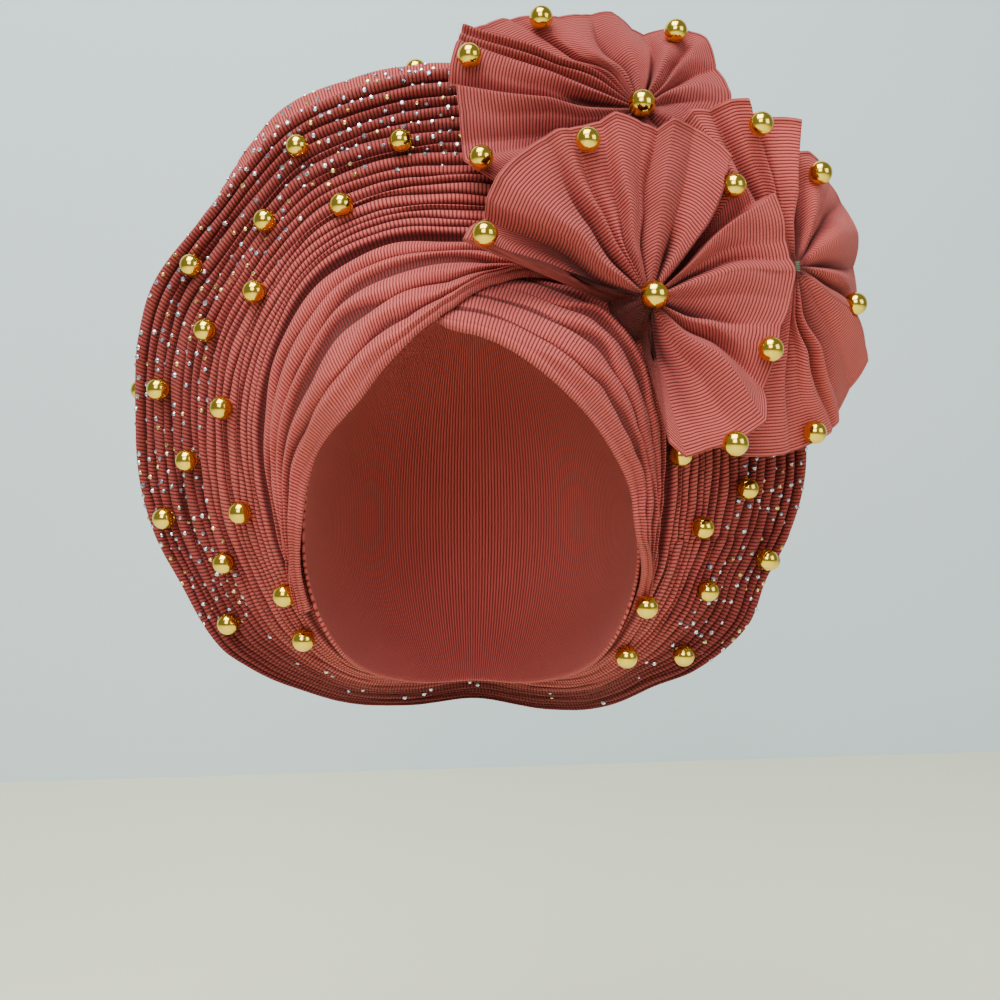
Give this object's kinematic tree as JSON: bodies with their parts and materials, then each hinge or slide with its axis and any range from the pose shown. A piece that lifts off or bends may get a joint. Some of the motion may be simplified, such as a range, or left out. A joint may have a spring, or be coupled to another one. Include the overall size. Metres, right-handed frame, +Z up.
{
  "type": "tied gele head tie",
  "caption": "Head tie of corded cloth, worn with folded bands crossing over the forehead, a pleated fan round the head, gathered rosettes at one side and gold balls.",
  "frame": {"origin": "where the crown of the head bears in the cap, at the top of the head hollow", "axes": "+Z up, the face looks along -Y, +X to the right seen from the front, the side that carries the rosettes"},
  "size_m": [0.3525, 0.1729, 0.3395],
  "materials": {
    "corded_cloth": "matt corded weave",
    "gold_ball": "polished",
    "clear_stone": "cut, foil backed",
    "gold_stone": "cut, foil backed"
  },
  "bodies": {
    "root": {"bead_fan_01": "gold_ball", "bead_fan_02": "gold_ball", "bead_fan_03": "gold_ball", "bead_fan_04": "gold_ball", "bead_fan_05": "gold_ball", "bead_fan_06": "gold_ball", "bead_fan_07": "gold_ball", "bead_fan_08": "gold_ball", "bead_fan_09": "gold_ball", "bead_fan_10": "gold_ball", "bead_fan_11": "gold_ball", "bead_fan_12": "gold_ball", "bead_fan_13": "gold_ball", "bead_fan_14": "gold_ball", "bead_fan_15": "gold_ball", "bead_fan_16": "gold_ball", "bead_fan_17": "gold_ball", "bead_fan_18": "gold_ball", "bead_fan_19": "gold_ball", "bead_fan_20": "gold_ball", "bead_fan_21": "gold_ball", "bead_fan_22": "gold_ball", "bead_fan_23": "gold_ball", "bead_fan_24": "gold_ball", "bead_rim_01": "gold_ball", "bead_rim_02": "gold_ball", "bead_rim_03": "gold_ball", "bead_rosette_01": "gold_ball", "bead_rosette_02": "gold_ball", "bead_rosette_03": "gold_ball", "bead_rosette_04": "gold_ball", "bead_rosette_05": "gold_ball", "bead_rosette_06": "gold_ball", "bead_rosette_07": "gold_ball", "bead_rosette_08": "gold_ball", "bead_rosette_09": "gold_ball", "bead_rosette_10": "gold_ball", "bead_rosette_11": "gold_ball", "bead_rosette_12": "gold_ball", "bead_rosette_13": "gold_ball", "bead_rosette_14": "gold_ball", "bead_rosette_15": "gold_ball", "cap": "corded_cloth", "fan": "corded_cloth", "fan_back": "corded_cloth", "rosette_front": "corded_cloth", "rosette_side": "corded_cloth", "rosette_top": "corded_cloth", "wrap_left": "corded_cloth", "wrap_right": "corded_cloth"}
  },
  "joints": []
}
